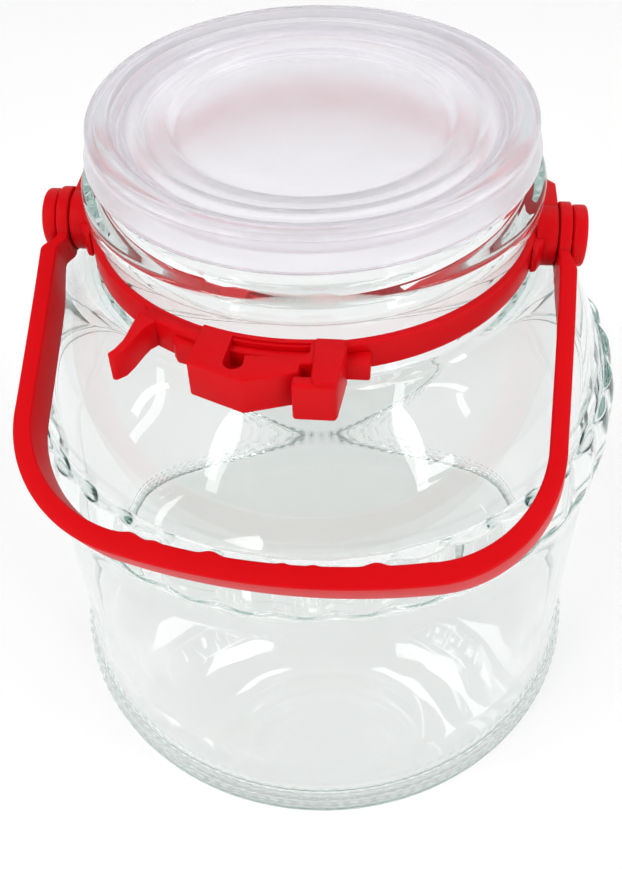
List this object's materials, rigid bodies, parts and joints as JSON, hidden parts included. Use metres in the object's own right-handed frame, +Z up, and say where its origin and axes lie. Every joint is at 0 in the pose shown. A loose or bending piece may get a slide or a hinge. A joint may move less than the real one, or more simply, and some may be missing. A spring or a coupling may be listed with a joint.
{
  "type": "glass jar with handle",
  "caption": "Wide-mouth glass storage jar with a press-on plastic lid, a clip band round the neck and a swinging plastic carrying handle.",
  "frame": {"origin": "centre of the jar's underside, on the surface it stands on", "axes": "+Z up along the jar's axis, X along the handle's pivot line, -Y towards the hanging handle and the band's buckle"},
  "size_m": [0.168, 0.1753, 0.1935],
  "materials": {
    "soda_lime_glass": "clear, slightly green",
    "milky_polyethylene": "milky, translucent satin",
    "red_polypropylene": "satin"
  },
  "bodies": {
    "jar": {"jar": "soda_lime_glass", "lid": "milky_polyethylene", "band": "red_polypropylene"},
    "handle": {"handle": "red_polypropylene"}
  },
  "joints": [
    {"name": "handle_swing", "type": "hinge", "parent": "jar", "child": "handle", "pos_m": [0, -0.0066, 0.1638], "axis": [-1, 0, 0], "range_deg": [0, 215]}
  ]
}
